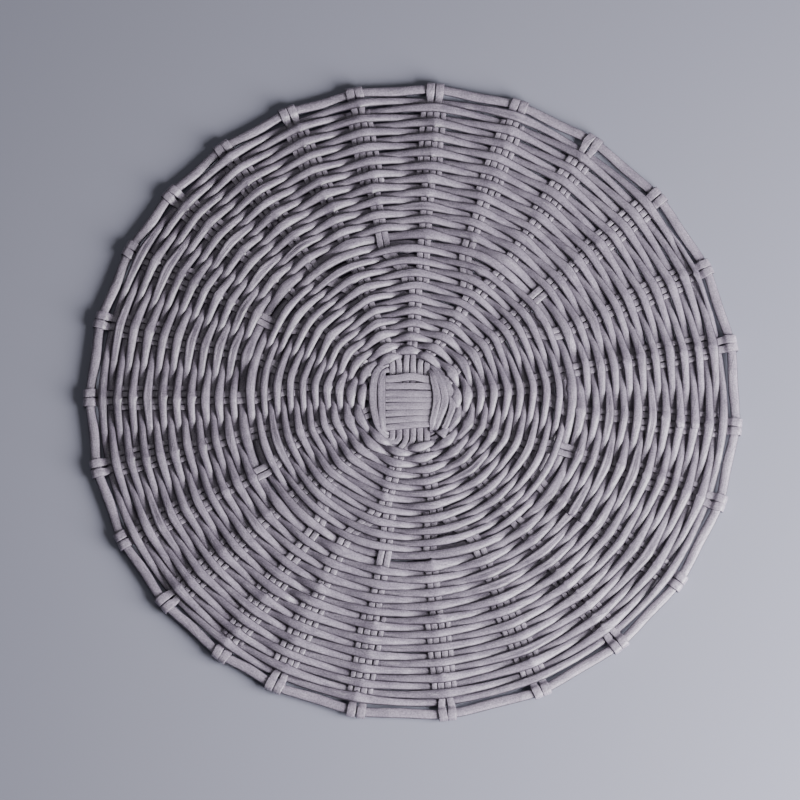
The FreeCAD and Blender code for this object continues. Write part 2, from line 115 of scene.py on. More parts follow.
@dataclass(frozen=True)
class MatPlan:
    """Where every strand of the mat lies, the same as in the solid model.

    The fields are its driving sizes, and the methods work out the rest.
    """

    diameter: float = 380.0
    weaver_thick: float = 2.0
    stake_thick: float = 2.0
    layer_gap: float = 0.1
    wide_inner: float = 5.0
    wide_outer: float = 5.4
    strip_pitch: float = 4.0
    strip_wide: float = 3.8
    stake_wide_start: float = 2.9
    stake_wide_full: float = 3.8
    late_stake_wide: float = 3.2
    stake_gap: float = 0.25
    cross_centre: tuple[float, float] = (-2.0, -2.0)
    weave_start: float = 28.9
    split_start: float = 68.0
    split_end: float = 93.0
    inner_last: float = 95.2
    outer_first: float = 97.0
    late_start: float = 130.0
    inner_turns: int = 18
    outer_turns: int = 20
    extra_floats: int = 3
    inner_lengths: int = 9
    outer_lengths: int = 10
    rim_wide: float = 5.4
    rim_tall: float = 2.8
    loop_thick: float = 1.1
    loop_wide: float = 5.2
    loop_gap: float = 0.1
    row_to_rim: float = 1.4
    last_step: float = 0.16
    last_spread: float = 8.0
    inner_bearings: tuple[float, ...] = (1.3, 28.8, 53.8, 85.0, 115.0, 141.9, 168.75,
                                         194.4, 226.6, 252.5, 277.5, 306.9, 335.0)
    odd_inner: int = 5
    outer_bearings: tuple[float, ...] = (
        4.0, 19.4, 34.3, 49.8, 65.5, 80.0, 95.3, 109.5, 125.5, 141.0, 157.0, 174.0, 190.0,
        205.0, 216.0, 229.5, 243.2, 257.0, 270.0, 284.4, 298.3, 311.0, 323.5, 337.0, 349.5)
    odd_outer: int = 9
    start_pull: tuple[float, ...] = (-3.3, -6.8, 1.2, -1.0, -3.0, -2.9, -0.8, -2.4, -9.6,
                                     -2.5, -1.5, -3.9, -1.0)
    pull_fade: float = 9.0
    row_sway: tuple[tuple[float, float, float], ...] = (
        (60.0, -1.3, 26.0), (172.0, -2.0, 18.0), (233.0, 2.1, 22.0))

    @property
    def mid(self) -> float:
        """Height of the mat's middle layer above its underside."""
        return self.weaver_thick + self.layer_gap + self.stake_thick / 2

    @property
    def float_z(self) -> float:
        """Height of a float's middle above the mat's middle."""
        return self.stake_thick / 2 + self.layer_gap + self.weaver_thick / 2

    @property
    def rim_out(self) -> float:
        """Outer radius of the rim strand."""
        return self.diameter / 2 - self.loop_thick - self.loop_gap

    @property
    def rim_in(self) -> float:
        """Inner radius of the rim strand."""
        return self.rim_out - self.rim_wide

    @property
    def row_last(self) -> float:
        """Radius of the last row of the weaver."""
        return self.rim_in - self.row_to_rim - self.wide_outer / 2

    @property
    def inner_pitch(self) -> float:
        """Distance between rows in the inner zone."""
        return (self.inner_last - self.weave_start) / self.inner_turns

    @property
    def outer_pitch(self) -> float:
        """Distance between rows in the outer zone."""
        turns = self.outer_turns + self.extra_floats / len(self.outer_bearings)
        return (self.row_last - self.outer_first) / turns

    @property
    def split_spare(self) -> float:
        """How much wider than a row the step is from the inner zone to the outer one."""
        step = self.outer_first - self.inner_last + self.inner_pitch
        return step - (self.inner_pitch + self.outer_pitch) / 2

    def at(self, bearing: float, radius: float, z: float = 0.0) -> Vector:
        """A point by bearing and radius, with z measured from the mat's middle."""
        return outward(bearing) * radius + UP * (self.mid + z)

    def bearings(self, zone: Zone) -> tuple[float, ...]:
        """The bearings of the groups in a zone."""
        return self.inner_bearings if zone is Zone.INNER else self.outer_bearings

    def group_bearing(self, group: int, radius: float) -> float:
        """Bearing of an inner group, pulled towards the cross where it leaves it."""
        fade = math.exp(-max(radius - self.weave_start, 0.0) / self.pull_fade)
        return self.inner_bearings[group] + self.start_pull[group] * fade

    def outer_pair(self, group: int) -> tuple[int, int]:
        """The two outer groups that an inner group opens into, lower bearing first.

        Args:
            group: Number of the inner group.

        Returns:
            The numbers of the two outer groups.
        """
        if group == self.odd_inner:
            return self.odd_outer, self.odd_outer
        others = [g for g in range(len(self.outer_bearings)) if g != self.odd_outer]
        whole = [g for g in range(len(self.inner_bearings)) if g != self.odd_inner]
        first = 2 * whole.index(group) - 1
        return others[first % len(others)], others[(first + 1) % len(others)]

    def stake_wide(self, radius: float) -> float:
        """Width of a stake, which is pressed narrow beside the cross."""
        grown = ease(radius, 32.0, 48.0)
        return self.stake_wide_start + (self.stake_wide_full - self.stake_wide_start) * grown

    def lane(self, radius: float, lanes_from_middle: float) -> float:
        """Offset of a stake's middle from the middle of its group."""
        return lanes_from_middle * (self.stake_wide(radius) + self.stake_gap)

    def stake_bearing(self, group: int, side: int, radius: float, added: bool) -> float:
        """Bearing of one stake of an inner group at a radius.

        Args:
            group: Number of the inner group.
            side: -1 or +1, for the lower or higher bearing.
            radius: Where along the stake.
            added: True for the stakes that join outside the first two.

        Returns:
            The bearing in degrees.
        """
        target = self.outer_bearings[self.outer_pair(group)[0 if side < 0 else 1]]
        first = side * (1.5 if added else 0.5)
        last = (side if added else -side) * 0.5
        if group == self.odd_inner:
            last = first
        start = self.group_bearing(group, radius) + math.degrees(self.lane(radius, first) / radius)
        end = target + math.degrees(self.lane(radius, last) / radius)
        return start + turned(end - start) * ease(radius, self.split_start, self.split_end)

    def late_lane(self, radius: float) -> float:
        """Offset of the thin stakes that join an outer group."""
        return self.lane(radius, 1) + (self.late_stake_wide + self.stake_gap) / 2

    def group_span(self, zone: Zone, group: int, radius: float) -> tuple[float, float]:
        """The middle bearing of a group at a radius, and half its width in millimetres.

        Args:
            zone: The zone it is in.
            group: Its number there.
            radius: Where along the group.

        Returns:
            The bearing in degrees and the half width.
        """
        if zone is Zone.OUTER:
            half = self.lane(radius, 1)
            if radius > self.late_start - self.wide_outer:
                half = self.late_lane(radius) + self.late_stake_wide / 2
            return self.outer_bearings[group], half
        added = radius > self.split_start - self.wide_inner and group != self.odd_inner
        low = self.stake_bearing(group, -1, radius, added)
        high = self.stake_bearing(group, 1, radius, added)
        half = math.radians(turned(high - low) / 2) * radius + self.stake_wide(radius) / 2
        return low + turned(high - low) / 2, half

    def row_radius(self, turns: float, bearing: float) -> float:
        """Radius of the spiral after so many turns, with the sway of hand tension.

        Args:
            turns: Turns from the start of the first row.
            bearing: Where on the turn.

        Returns:
            The radius in millimetres.
        """
        if turns < self.inner_turns:
            base = self.weave_start + self.inner_pitch * turns
        else:
            base = self.outer_first + self.outer_pitch * (turns - self.inner_turns)
        across = (base - self.outer_first) / (self.row_last - self.outer_first)
        share = math.sin(math.pi * min(max(across, 0.0), 1.0))
        sway = sum(high * math.exp(-(turned(bearing - b) / spread) ** 2)
                   for b, high, spread in self.row_sway)
        return base + sway * share + self.drawn_out(turns)

    def drawn_out(self, turns: float) -> float:
        """How much further out a row lies than evenly, as the last turn hugs the rim.

        Args:
            turns: Turns from the start of the first row.

        Returns:
            The extra radius in millimetres.
        """
        spare = self.extra_floats / len(self.outer_bearings)
        left = self.inner_turns + self.outer_turns + spare - turns
        part = left % 1.0
        moved = part - ease(part, 1.0 - self.last_step, 1.0)
        return self.outer_pitch * moved * max(1.0 - left / self.last_spread, 0.0)

    def row_centre(self, radius: float) -> Vector:
        """The first rows lie about the cross and the later ones about the mat."""
        share = math.exp(-(radius - self.weave_start) / 15.0)
        return Vector((self.cross_centre[0] * share, self.cross_centre[1] * share, 0.0))


@dataclass(frozen=True)
class Passing:
    """One place where the weaver passes a group of stakes."""

    zone: Zone
    group: int
    turns: float
    over: bool


@dataclass
class Ring:
    """One section of a pressed tube."""

    middle: Vector
    wide: float
    thick: float
    heading: Vector = field(default_factory=lambda: Vector((0.0, 0.0, 0.0)))
    up: Vector = field(default_factory=lambda: UP.copy())
    roll: float = 0.0
    ear: float = 0.0
    groove: float = 0.0
    groove_side: int = 0
    facing: int = 1


@dataclass(frozen=True)
class Stop:
    """A place that a strand passes through, with its heading and section there."""

    point: Vector
    heading: Vector
    wide: float
    thick: float
    up: Vector = field(default_factory=lambda: UP.copy())


@dataclass(frozen=True)
class TubeRoller:
    """Rolls a flat sheet into a pressed tube along a row of rings."""

    sides: int = 16
    squareness: float = 2.5
    grain_length: float = 13.0
    groove_lip: float = 0.12      # rise beside a groove, against its depth
    # round an ear's corner: steps from it, then how far out and how far up each point goes
    ear_shape: tuple[tuple[int, float, float], ...] = (
        (0, 1.0, 0.15), (1, 0.8, 0.30), (2, 0.4, 0.25), (-1, 0.5, 0.0))

    def outline(self, ring: Ring) -> list[Vector]:
        """The section of a ring.

        Args:
            ring: The ring to draw.

        Returns:
            Points from the outer edge over the top, in the ring's own plane.
        """
        power = 2.0 / self.squareness
        quarter = self.sides // 4
        points = []
        for number in range(self.sides):
            angle = 2 * math.pi * number / self.sides
            c, s = math.cos(angle), math.sin(angle)
            x = math.copysign(abs(c) ** power, c) * ring.wide / 2
            z = math.copysign(abs(s) ** power, s) * ring.thick / 2
            points.append(Vector((x, z)))
        if ring.groove > 0.0:
            place = (quarter if ring.facing > 0 else 3 * quarter) + ring.groove_side
            points[place].y -= ring.groove * ring.facing
            for beside in (-1, 1):
                points[place + beside].y += self.groove_lip * ring.groove * ring.facing
        if ring.ear > 0.0:
            inner = 2 * quarter
            for step, share, rise in self.ear_shape:
                points[inner - step * ring.facing] += Vector(
                    (-share * ring.ear, rise * ring.ear * ring.facing))
        return points

    def roll_one(self, bm: bmesh.types.BMesh, rings: list[Ring], closed: bool = False) -> None:
        """Add one tube to a mesh.

        Args:
            bm: The mesh that the tube is added to.
            rings: The tube's sections in order.
            closed: True if the last ring is the first one again.
        """
        last = len(rings) - 1
        made = bmesh.ops.create_grid(bm, x_segments=last, y_segments=self.sides, size=0.5)
        spots = {}
        for vert in made["verts"]:
            along = round((vert.co.x + 0.5) * last)
            around = round((vert.co.y + 0.5) * self.sides)
            spots[vert] = (along, around)
        travelled = [0.0]
        for one, two in zip(rings, rings[1:]):
            travelled.append(travelled[-1] + (two.middle - one.middle).length)
        grain = bm.loops.layers.uv.verify()
        for face in {f for vert in made["verts"] for f in vert.link_faces}:
            face.smooth = True
            for loop in face.loops:
                along, around = spots[loop.vert]
                loop[grain].uv = (around / self.sides, travelled[along] / self.grain_length)
        lines = []
        for ring in rings:
            across = ring.heading.cross(ring.up).normalized()
            rise = across.cross(ring.heading).normalized()
            if ring.roll:
                lean = Matrix.Rotation(ring.roll, 3, ring.heading)
                across, rise = lean @ across, lean @ rise
            drawn = self.outline(ring)
            lines.append([ring.middle + across * p.x + rise * p.y for p in drawn])
        corner = {}
        for vert, (along, around) in spots.items():
            vert.co = lines[along][around % self.sides] * MM
            corner[(along, around)] = vert
        seam = {corner[(along, self.sides)]: corner[(along, 0)] for along in range(last + 1)}
        if closed:
            for around in range(self.sides + 1):
                seam[corner[(last, around)]] = corner[(0, around % self.sides)]
        bmesh.ops.weld_verts(bm, targetmap=seam)

    def roll_all(self, name: str, strands: list[list[Ring]], closed: bool = False
                 ) -> bpy.types.Object:
        """Make one piece of one or more tubes.

        Args:
            name: Name of the piece.
            strands: The rings of each tube.
            closed: True if each tube is a ring without ends.

        Returns:
            The new object, at the origin, with its place in its mesh.
        """
        bm = bmesh.new()
        for rings in strands:
            self.roll_one(bm, rings, closed)
        open_edges = [edge for edge in bm.edges if edge.is_boundary]
        if open_edges:
            bmesh.ops.holes_fill(bm, edges=open_edges, sides=self.sides)
        bmesh.ops.recalc_face_normals(bm, faces=bm.faces)
        mesh = bpy.data.meshes.new(name)
        bm.to_mesh(mesh)
        bm.free()
        made = bpy.data.objects.new(name, mesh)
        bpy.context.scene.collection.objects.link(made)
        return made


def aim(rings: list[Ring], closed: bool = False) -> list[Ring]:
    """Set each ring's heading from its neighbours.

    Args:
        rings: Rings in order along a strand.
        closed: True if the strand is a ring whose last ring is its first again.

    Returns:
        The same rings.
    """
    last = len(rings) - 1
    for number, ring in enumerate(rings):
        before = rings[max(number - 1, 0)]
        after = rings[min(number + 1, last)]
        if closed and number in (0, last):
            before, after = rings[last - 1], rings[1]
        ring.heading = (after.middle - before.middle).normalized()
    return rings


def flow(stops: list[Stop], spacing: float = 3.0, most_turn: float = 0.35) -> list[Ring]:
    """Rings along the smooth way through the stops.

    Args:
        stops: The places that the strand passes through.
        spacing: About how far apart the rings are, in millimetres.
        most_turn: About how far the strand turns between rings, in radians.

    Returns:
        The rings, with their headings set.
    """
    rings = []
    for one, two in zip(stops, stops[1:]):
        gap = (two.point - one.point).length
        turn = one.heading.angle(two.heading)
        reach = gap / (3 * math.cos(turn / 4) ** 2)
        poles = (one.point, one.point + one.heading * reach,
                 two.point - two.heading * reach, two.point)
        steps = max(2, round(gap / spacing), round(turn / most_turn))
        for step in range(steps):
            t = step / steps
            u = 1 - t
            weights = (u * u * u, 3 * u * u * t, 3 * u * t * t, t * t * t)
            middle = sum((p * w for p, w in zip(poles, weights)), Vector((0.0, 0.0, 0.0)))
            rings.append(Ring(middle, one.wide * u + two.wide * t, one.thick * u + two.thick * t,
                              up=(one.up * u + two.up * t).normalized()))
    end = stops[-1]
    rings.append(Ring(end.point.copy(), end.wide, end.thick, up=end.up.copy()))
    return aim(rings)


@dataclass(frozen=True)
class NodeBench:
    """Adds shader nodes to one material and joins them up."""

    made: bpy.types.Material

    def feed(self, node: bpy.types.Node, inputs: dict) -> None:
        """Set a node's sockets, or join them to the outputs that are given.

        Args:
            node: The node that is fed.
            inputs: For each socket, its value or the output that feeds it.
        """
        for socket, value in inputs.items():
            if isinstance(value, bpy.types.NodeSocket):
                self.made.node_tree.links.new(value, node.inputs[socket])
            else:
                node.inputs[socket].default_value = value

    def add(self, kind: str, inputs: dict, **settings: str) -> bpy.types.Node:
        """Add one node.

        Args:
            kind: The node's type, without its prefix.
            inputs: For each socket, its value or the output that feeds it.
            settings: The node's own settings, such as its operation.

        Returns:
            The new node.
        """
        node = self.made.node_tree.nodes.new(f"ShaderNode{kind}")
        for name, value in settings.items():
            setattr(node, name, value)
        self.feed(node, inputs)
        return node

    def noise(self, vector: bpy.types.NodeSocket, scale: float, detail: float,
              roughness: float = 0.5) -> bpy.types.NodeSocket:
        """The strength of a noise pattern."""
        return self.add("TexNoise", {"Vector": vector, "Scale": scale, "Detail": detail,
                                     "Roughness": roughness}).outputs["Fac"]

    def count(self, operation: str, *values: object) -> bpy.types.NodeSocket:
        """The result of a sum on numbers or outputs."""
        return self.add("Math", dict(enumerate(values)), operation=operation).outputs["Value"]

    def spread(self, value: bpy.types.NodeSocket, came: tuple[float, float],
               goes: tuple[float, float], **settings: str) -> bpy.types.NodeSocket:
        """A value taken from one range to another.

        Args:
            value: The output that is taken.
            came: The range it runs over.
            goes: The range it is taken to.
            settings: The node's own settings.

        Returns:
            The output with the new value.
        """
        return self.add("MapRange", {
            "Value": value, "From Min": came[0], "From Max": came[1],
            "To Min": goes[0], "To Max": goes[1]}, **settings).outputs["Result"]

    def mix(self, share: object, one: object, two: object, **settings: str
            ) -> bpy.types.NodeSocket:
        """A share of the second colour over the first."""
        return self.add("Mix", {"Factor": share, "A": one, "B": two},
                        data_type="RGBA", **settings).outputs["Result"]

    def ramp(self, value: bpy.types.NodeSocket, *marks: tuple[float, Colour]
             ) -> bpy.types.NodeSocket:
        """Colours along a value, each with the place where it is reached.

        Args:
            value: The output that runs along the colours.
            marks: The places and their colours.

        Returns:
            The output with the colour.
        """
        node = self.add("ValToRGB", {"Fac": value})
        marked = node.color_ramp.elements
        for number, (place, colour) in enumerate(marks):
            mark = marked[number] if number < len(marked) else marked.new(place)
            mark.position = place
            mark.color = (*colour, 1.0)
        return node.outputs["Color"]

    def bump(self, height: bpy.types.NodeSocket, strength: float, distance: float,
             under: bpy.types.NodeSocket | None = None) -> bpy.types.NodeSocket:
        """A relief, on top of another one if that is given.

        Args:
            height: The output that gives the height.
            strength: How much of it shows.
            distance: Its full height, in metres.
            under: The relief that it lies on.

        Returns:
            The output with the surface's direction.
        """
        inputs = {"Height": height, "Strength": strength, "Distance": distance}
        if under is not None:
            inputs["Normal"] = under
        return self.add("Bump", inputs).outputs["Normal"]


def dimmed(colour: Colour, share: float) -> tuple[float, float, float, float]:
    """A share of a colour, as a socket takes it."""
    return tuple(share * c for c in colour) + (1.0,)


@dataclass(frozen=True)
class PaintedPaper:
    """Matt paint over rolled paper: grain, fibres along the tube, a seam, mottling, and painted shade
    along the tube's sides.
    """

    name: str
    paint: Colour
    worn: Colour
    # darker paint for the mottling and the seam, and also the colour of the painted shade along the
    # sides
    dark_tone_and_shade: Colour
    gloss: float = 0.65
    roughness: float = 0.38
    roughness_play: float = 0.10
    mottle_scale: float = 95.0
    fibre_scale: tuple[float, float, float] = (26.0, 1.3, 1.0)   # round, along, and unused
    grain_scale: float = 1150.0
    speckle: tuple[float, float] = (0.56, 1.44)
    most_wear: float = 0.55
    seam_wind: float = 0.23                         # turns in one length of the grain
    seam_share: float = 0.35
    seam_dim: float = 0.6
    # painted shade along the tube's sides: its strength, where it starts and how dark its colour is
    edge_shade: float = 0.94
    edge_shade_from: float = 0.80                         # share of the way from crest to side
    edge_shade_dim: float = 0.13

    def material(self) -> bpy.types.Material:
        """Build the material.

        Returns:
            A node material that reads object coordinates and the tube's own UV map.
        """
        made = bpy.data.materials.new(self.name)
        made.use_nodes = True
        bench = NodeBench(made)
        place = bench.add("TexCoord", {}).outputs
        mottle = bench.noise(place["Object"], self.mottle_scale, 3.0)
        tone = bench.ramp(mottle, (0.32, self.dark_tone_and_shade), (0.68, self.paint))
        stretch = bench.add("Mapping", {"Vector": place["UV"], "Scale": self.fibre_scale})
        fibres = bench.noise(stretch.outputs["Vector"], 1.0, 4.0, 0.6)
        grain = bench.noise(place["Object"], self.grain_scale, 3.0, 0.7)
        wear = bench.spread(fibres, (0.56, 0.80), (0.0, self.most_wear))
        rubbed = bench.mix(wear, tone, dimmed(self.worn, 1.0))
        speck = bench.spread(grain, (0.30, 0.70), self.speckle)
        speckled = bench.mix(1.0, rubbed, speck, blend_type="MULTIPLY")

        # the edge of the rolled sheet winds slowly round the tube
        split = bench.add("SeparateXYZ", {"Vector": place["UV"]}).outputs
        wound = bench.count("MULTIPLY_ADD", split["Y"], self.seam_wind, split["X"])
        line = bench.ramp(bench.count("FRACT", wound), (0.485, BLACK), (0.50, WHITE), (0.53, BLACK))
        seam = bench.count("MULTIPLY", line, self.seam_share)
        seamed = bench.mix(seam, speckled, dimmed(self.dark_tone_and_shade, self.seam_dim))

        # painted shade: the sides of the tube are darkened, where neighbours touch
        swing = bench.count("COSINE", bench.count("MULTIPLY", split["X"], 2 * math.pi))
        edge_shade_share = bench.spread(bench.count("ABSOLUTE", swing), (self.edge_shade_from, 1.0),
                             (0.0, self.edge_shade), interpolation_type="SMOOTHSTEP")
        edge_shaded = bench.mix(edge_shade_share, seamed, dimmed(self.dark_tone_and_shade, self.edge_shade_dim))

        rough = bench.spread(mottle, (0.0, 1.0), (self.roughness - self.roughness_play,
                                                  self.roughness + self.roughness_play))
        paper = bench.bump(grain, 0.22, 0.0003)
        ribs = bench.bump(fibres, 0.55, 0.0004, paper)
        lap = bench.bump(line, 0.5, 0.0002, ribs)
        bench.feed(made.node_tree.nodes["Principled BSDF"], {
            "Specular IOR Level": self.gloss, "Base Color": edge_shaded, "Roughness": rough, "Normal": lap})
        return made


@dataclass(frozen=True)
class Paints:
    """The mat's finishes, one for each kind of strand."""

    # the painted shade along the sides starts at a different place on each kind of strand
    weaver: PaintedPaper = PaintedPaper(
        "painted_weaver", (0.292, 0.250, 0.322), (0.74, 0.69, 0.76), (0.190, 0.160, 0.214),
        edge_shade_from=0.66)
    stake: PaintedPaper = PaintedPaper(
        "painted_stake", (0.345, 0.297, 0.376), (0.66, 0.61, 0.68), (0.238, 0.203, 0.264),
        edge_shade_from=0.74)
    rim: PaintedPaper = PaintedPaper(
        "painted_rim", (0.325, 0.279, 0.356), (0.70, 0.65, 0.72), (0.230, 0.195, 0.256))


@dataclass
class Dresser:
    """Puts a finished piece in place of its solid and gives it its paint."""

    paints: Paints = field(default_factory=Paints)
    made: dict[str, bpy.types.Material] = field(default_factory=dict)

    def lay(self, roller: TubeRoller, node: str, strands: list[list[Ring]], slot: str,
            closed: bool = False, added: bool = False) -> None:
        """Roll a piece, paint it and let it stand for its solid.

        Args:
            roller: What rolls its tubes.
            node: Name of the solid that it replaces, or of the added piece.
            strands: The rings of each tube.
            slot: "weaver", "stake" or "rim".
            closed: True if each tube is a ring without ends.
            added: True for a piece that has no solid.
        """
        piece = roller.roll_all(f"paper_{node}", strands, closed)
        if slot not in self.made:
            self.made[slot] = getattr(self.paints, slot).material()
        piece.data.materials.append(self.made[slot])
        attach(piece, BODY)
        if not added:
            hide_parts(node)
        LOG.info("%s: %d faces", piece.name, len(piece.data.polygons))


@dataclass
class Stakes:
    """The stakes through the cross and the ones added beside them, with their loops."""

    plan: MatPlan
    dresser: Dresser
    roller: TubeRoller = field(default_factory=lambda: TubeRoller(sides=12, squareness=4.5))
    show_wide: float = 1.01   # a rounded tube touches its neighbour only at its widest
    # of each strip on top, from the upper one down: how far its left and right ends lie
    # from the middle of the cross, its width, and how far it bows
    strips: tuple[tuple[float, float, float, float], ...] = (
        (12.9, 12.4, 4.6, 1.7), (8.6, 8.4, 4.1, 0.2), (4.3, 4.1, 4.1, -0.1), (0.7, 0.6, 3.2, 0.1),
        (-3.3, -3.0, 4.6, 0.1), (-7.6, -7.0, 3.9, 0.3), (-11.8, -10.4, 3.8, 0.2),
        (-15.8, -13.7, 3.9, 0.2))
    loop_lean: float = 0.16
    loop_climb: tuple[float, float] = (0.75, 0.66)   # outwards and up, as it climbs the rim
    loop_slip: float = 3.0        # run over which its lean shifts a loop, at the top
    cross_reach: float = 6.0      # how far past the cross a strip has changed level

    def bent_arm(self, group: int, side: int, added: bool, start: float) -> list[Stop]:
        """Stops of a stake through the inner zone.

        Args:
            group: Number of the inner group.
            side: -1 or +1.
            added: True for the stakes that join where the group opens.
            start: Radius of the first stop.

        Returns:
            Stops from the inside out.
        """
        radii = [r for r in (start, 34.0, 40.0, 48.0, 58.0, 66.0, 74.0, 80.5, 87.0,
                             self.plan.split_end) if r >= start]
        stops = []
        for r in radii:
            here, ahead, behind = (
                self.plan.at(self.plan.stake_bearing(group, side, q, added), q)
                for q in (r, r + 0.5, r - 0.5))
            wide = self.plan.stake_wide(r) * (1.06 - (1.06 - self.show_wide) * ease(r, 34.0, 50.0))
            stops.append(Stop(here, (ahead - behind).normalized(), wide, self.plan.stake_thick))
        return stops

    def loop(self, bearing: float, offset: float, lean: float) -> list[Stop]:
        """Stops of a loop over the rim strand, round its outside and back under it.

        Args:
            bearing: Bearing of the group.
            offset: Sideways place of the loop, in millimetres.
            lean: How far the loop slants, sideways for each millimetre outwards.

        Returns:
            Stops from the last row outwards and back.
        """
        plan = self.plan
        out, side = outward(bearing), onward(bearing) * -1.0
        base = UP * plan.mid + side * offset
        lift = plan.rim_tall / 2 + plan.loop_gap + plan.loop_thick / 2
        bend = plan.diameter / 2 - plan.loop_thick / 2 - lift
        foot = plan.row_last + plan.wide_outer / 2
        wide, thick = plan.loop_wide, plan.loop_thick * 1.15
        away = (out + side * lean).normalized()
        back = (side * lean - out).normalized()
        flat, steep = self.loop_climb
        rise = (out * flat + UP * steep).normalized()
        rise_up = (UP * flat - out * steep).normalized()
        shift = side * (lean * self.loop_slip)
        return [
            Stop(base + out * (foot - 0.6), out, wide * 0.85, plan.stake_thick * 0.8),
            Stop(base + out * (foot + 1.15) + UP * (lift * 0.5), rise, wide * 0.95, thick, rise_up),
            Stop(base + out * (plan.rim_in + 1.2) + UP * lift, away, wide, thick),
            Stop(base + out * bend + UP * lift + shift, away, wide, thick),
            Stop(base + out * (bend + lift) + shift * 1.4, UP * -1.0, wide, thick, out),
            Stop(base + out * bend - UP * lift + shift * 1.8, back, wide, thick, UP * -1.0),
            Stop(base + out * plan.rim_in - UP * lift + shift * 2.4, back, wide, thick,
                 UP * -1.0),
        ]

    def straight_run(self, target: int, side: int, chance: random.Random) -> list[Stop]:
        """A main stake's run through the outer zone, and its loop.

        Args:
            target: Number of the outer group.
            side: -1 or +1.
            chance: Source of the small differences that a hand leaves.

        Returns:
            Stops from the inside out.
        """
        plan = self.plan
        bearing = plan.outer_bearings[target]
        out, right = outward(bearing), onward(bearing) * -1.0
        near, far = plan.split_end + 4.0, plan.row_last - 4.0
        base = UP * plan.mid + right * plan.lane(near, side * 0.5)
        stops = []
        for step in range(7):
            r = near + (far - near) * step / 6
            stray = right * chance.uniform(-0.25, 0.25)
            wide = plan.stake_wide_full * self.show_wide * chance.uniform(0.93, 1.02)
            stops.append(Stop(base + out * r + stray, out, wide, plan.stake_thick * 0.85))
        lean = chance.choice((0.0, 0.0, 0.5, 1.0)) * self.loop_lean * -side
        offset = side * (plan.loop_wide + plan.stake_gap) / 2 * chance.uniform(0.96, 1.05)
        return stops + self.loop(bearing, offset, lean)

    def crossing(self, start: Vector, end: Vector, level: int, wide: float, bow: float
                 ) -> list[Stop]:
        """The flat run of a strip across the middle of the mat.

        Args:
            start: Where the run starts.
            end: Where it ends.
            level: +1 for the strips on top, -1 for those under them.
            wide: Its width.
            bow: How far the middle of the run stands to one side.

        Returns:
            Stops from before the start to past the end.
        """
        plan = self.plan
        way = (end - start).normalized()
        lift = UP * ((plan.stake_thick + plan.layer_gap) / 2 * level)
        thick = plan.stake_thick
        middle = start + (end - start) * 0.56 - way.cross(UP) * bow + lift * 1.2
        return [Stop(start - way * self.cross_reach, way, plan.strip_wide * 0.9, thick),
                Stop(start + lift, way, wide, thick),
                Stop(middle, way, wide, thick),
                Stop(end + lift, way, wide, thick),
                Stop(end + way * self.cross_reach, way, plan.strip_wide * 0.9, thick)]

    def arm(self, group: int, side: int, chance: random.Random) -> list[Stop]:
        """A main stake from the first row to its loop, inside out.

        Args:
            group: Number of the inner group.
            side: -1 or +1.
            chance: Source of the small differences that a hand leaves.

        Returns:
            The stops of the whole arm.
        """
        stops = self.bent_arm(group, side, False, 34.0)
        target = self.plan.outer_pair(group)[0 if side < 0 else 1]
        last = side if group == self.plan.odd_inner else -side
        return stops + self.straight_run(target, last, chance)

    @staticmethod
    def backwards(stops: list[Stop]) -> list[Stop]:
        """The same stops from the other end."""
        return [replace(s, heading=s.heading * -1.0) for s in reversed(stops)]

    def down_stake(self, number: int) -> list[Ring]:
        """Rings of a stake from the top arm through the cross to the bottom arm.

        Args:
            number: From the left, starting at 0.

        Returns:
            The rings, with their headings set.
        """
        plan = self.plan
        chance = random.Random(100 + number)
        x = plan.cross_centre[0] + (number - 2.5) * plan.strip_pitch
        y = plan.cross_centre[1]
        half = 4 * plan.strip_pitch
        top = self.arm((12, 0, 1)[number // 2], -1 if number % 2 == 0 else 1, chance)
        bottom = self.arm((8, 7, 6)[number // 2], 1 if number % 2 == 0 else -1, chance)
        middle = self.crossing(Vector((x, y + half, plan.mid)), Vector((x, y - half, plan.mid)),
                               -1, plan.strip_wide, 0.0)
        return flow(self.backwards(top) + middle + bottom)

    def across_stake(self, number: int) -> list[Ring]:
        """Rings of a stake over the cross from the left, numbered from the top.

        Args:
            number: From the top, starting at 0; 6 and 7 are the odd group's two.

        Returns:
            The rings, with their headings set.
        """
        plan = self.plan
        chance = random.Random(200 + number)
        left_y, right_y, wide, bow = self.strips[number]
        x, y = plan.cross_centre
        half = 3 * plan.strip_pitch
        middle = self.crossing(Vector((x - half, y + left_y, plan.mid)),
                               Vector((x + half, y + right_y, plan.mid)), 1, wide, bow)
        if number >= 6:
            side = -1 if number % 2 == 0 else 1
            return flow(middle + self.arm(plan.odd_inner, side, chance))
        left = self.arm((11, 10, 9)[number // 2], 1 if number % 2 == 0 else -1, chance)
        right = self.arm((2, 3, 4)[number // 2], -1 if number % 2 == 0 else 1, chance)
        return flow(self.backwards(left) + middle + right)

    def side_stakes(self, target: int) -> list[list[Ring]]:
        """Rings of the stakes added to one outer group.

        Args:
            target: Number of the outer group.

        Returns:
            The rings of a main stake, except in the odd group, and of two thin ones.
        """
        plan = self.plan
        chance = random.Random(300 + target)
        strands = []
        for group in range(len(plan.inner_bearings)):
            for side, goal in zip((-1, 1), plan.outer_pair(group)):
                if goal == target and group != plan.odd_inner:
                    stops = self.bent_arm(group, side, True, plan.split_start)
                    strands.append(flow(stops + self.straight_run(target, side, chance)))
        bearing = plan.outer_bearings[target]
        out, right = outward(bearing), onward(bearing) * -1.0
        for side in (-1, 1):
            base = UP * plan.mid + right * (side * plan.late_lane(plan.late_start))
            stops = []
            for step in range(5):
                r = plan.late_start + (plan.row_last - 4.0 - plan.late_start) * step / 4
                stray = right * chance.uniform(-0.3, 0.3)
                wide = plan.late_stake_wide * chance.uniform(0.88, 1.03)
                stops.append(Stop(base + out * r + stray, out, wide, plan.stake_thick * 0.9))
            strands.append(flow(stops))
        return strands

